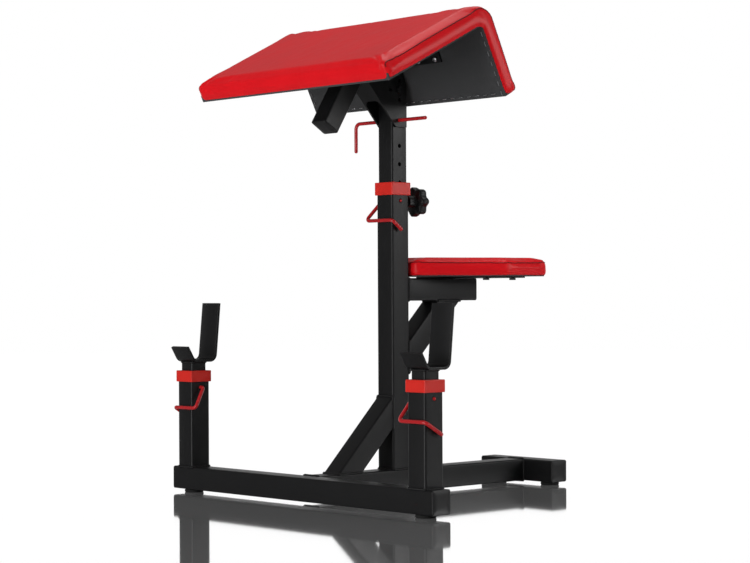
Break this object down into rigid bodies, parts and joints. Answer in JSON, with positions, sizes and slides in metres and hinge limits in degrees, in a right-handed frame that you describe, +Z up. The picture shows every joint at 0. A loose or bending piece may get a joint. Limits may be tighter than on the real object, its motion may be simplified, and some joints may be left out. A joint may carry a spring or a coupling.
{
  "type": "preacher curl bench",
  "caption": "Free-standing arm-curl bench: V-shaped pad on a telescoping mast with a tilting head, a seat behind it, and telescoping hooks for a bar on a front beam.",
  "frame": {"origin": "on the floor, in the middle of the bench's bounding box seen from above", "axes": "+X along the front beam, +Y towards the seat, +Z up"},
  "size_m": [0.8326, 0.75, 1.0463],
  "materials": {
    "black_steel": "satin",
    "black_plastic": "satin",
    "red_plastic": "satin",
    "red_rod": "satin",
    "zinc_steel": "satin",
    "black_rubber": "matte",
    "red_vinyl": "satin",
    "lined_board": "matte"
  },
  "bodies": {
    "frame": {"front_beam": "black_steel", "base_tube": "black_steel", "rear_crossbar": "black_steel", "left_beam_cap": "black_plastic", "right_beam_cap": "black_plastic", "left_crossbar_cap": "black_plastic", "right_crossbar_cap": "black_plastic", "left_front_foot": "black_rubber", "right_front_foot": "black_rubber", "left_rear_foot": "black_rubber", "right_rear_foot": "black_rubber", "main_post": "black_steel", "front_brace": "black_steel", "seat_arm": "black_steel", "seat_arm_cap": "black_plastic", "seat_brace": "black_steel", "seat_plate": "black_steel", "seat_board": "lined_board", "seat_cushion": "red_vinyl", "left_front_seat_bolt": "black_steel", "left_rear_seat_bolt": "black_steel", "right_front_seat_bolt": "black_steel", "right_rear_seat_bolt": "black_steel", "knob_nut": "black_steel", "mast_collar": "red_plastic", "left_upright": "black_steel", "left_collar": "red_plastic", "right_upright": "black_steel", "right_collar": "red_plastic"},
    "mast": {"mast": "black_steel"},
    "pad_head": {"pad_cushion": "red_vinyl", "front_pad_board": "lined_board", "rear_pad_board": "lined_board", "pad_angle_bracket": "black_steel", "front_pad_screw_1": "zinc_steel", "front_pad_screw_2": "zinc_steel", "rear_pad_screw_1": "zinc_steel", "rear_pad_screw_2": "zinc_steel", "rear_pad_screw_3": "zinc_steel", "rear_pad_screw_4": "zinc_steel", "pad_arm": "black_steel", "pad_arm_cap": "black_plastic", "head_fork": "black_steel", "pivot_bolt": "black_steel", "pivot_nut": "black_steel"},
    "head_pin_shank": {"l_pin_tip": "red_rod"},
    "head_pin_handle": {"l_pin": "red_rod"},
    "mast_pin": {"mast_pin": "red_rod", "mast_pin_tip": "red_rod"},
    "knob_screw": {"knob_stud": "zinc_steel"},
    "knob_grip": {"star_knob": "black_plastic"},
    "left_hook_slide": {"left_hook_tube": "black_steel", "left_hook": "black_steel"},
    "right_hook_slide": {"right_hook_tube": "black_steel", "right_hook": "black_steel"},
    "left_hook_pin": {"left_hook_pin": "red_rod", "left_hook_pin_tip": "red_rod"},
    "right_hook_pin": {"right_hook_pin": "red_rod", "right_hook_pin_tip": "red_rod"}
  },
  "joints": [
    {"name": "mast_height", "type": "slide", "parent": "frame", "child": "mast", "axis": [0, 0, 1], "range_m": [-0.115, 0.08]},
    {"name": "pad_tilt", "type": "hinge", "parent": "mast", "child": "pad_head", "pos_m": [0, -0.06995, 0.886], "axis": [1, 0, 0], "range_deg": [-15, 15]},
    {"name": "head_pin_pull", "type": "slide", "parent": "pad_head", "child": "head_pin_shank", "axis": [-1, 0, 0], "range_m": [0, 0.15]},
    {"name": "head_pin_swing", "type": "hinge", "parent": "head_pin_shank", "child": "head_pin_handle", "pos_m": [0, -0.06995, 0.8205], "axis": [1, 0, 0], "range_deg": [-170, 45]},
    {"name": "mast_pin_swing", "type": "hinge", "parent": "frame", "child": "mast_pin", "pos_m": [0, -0.06495, 0.645], "axis": [-1, 0, 0], "range_deg": [0, 85]},
    {"name": "knob_feed", "type": "slide", "parent": "frame", "child": "knob_screw", "axis": [0, 1, 0], "range_m": [0, 0.0036]},
    {"name": "knob_turn", "type": "hinge", "parent": "knob_screw", "child": "knob_grip", "pos_m": [0, -0.00395, 0.645], "axis": [0, 1, 0], "range_deg": [0, 720]},
    {"name": "left_hook_height", "type": "slide", "parent": "frame", "child": "left_hook_slide", "axis": [0, 0, 1], "range_m": [0, 0.08]},
    {"name": "right_hook_height", "type": "slide", "parent": "frame", "child": "right_hook_slide", "axis": [0, 0, 1], "range_m": [0, 0.08]},
    {"name": "left_hook_pin_swing", "type": "hinge", "parent": "frame", "child": "left_hook_pin", "pos_m": [-0.372, -0.32995, 0.235], "axis": [-1, 0, 0], "range_deg": [0, 85]},
    {"name": "right_hook_pin_swing", "type": "hinge", "parent": "frame", "child": "right_hook_pin", "pos_m": [0.372, -0.32995, 0.235], "axis": [-1, 0, 0], "range_deg": [0, 85]}
  ],
  "couplings": [
    {"joint": "knob_feed", "follows": "knob_turn", "m_per_rad": 0.00027852}
  ]
}
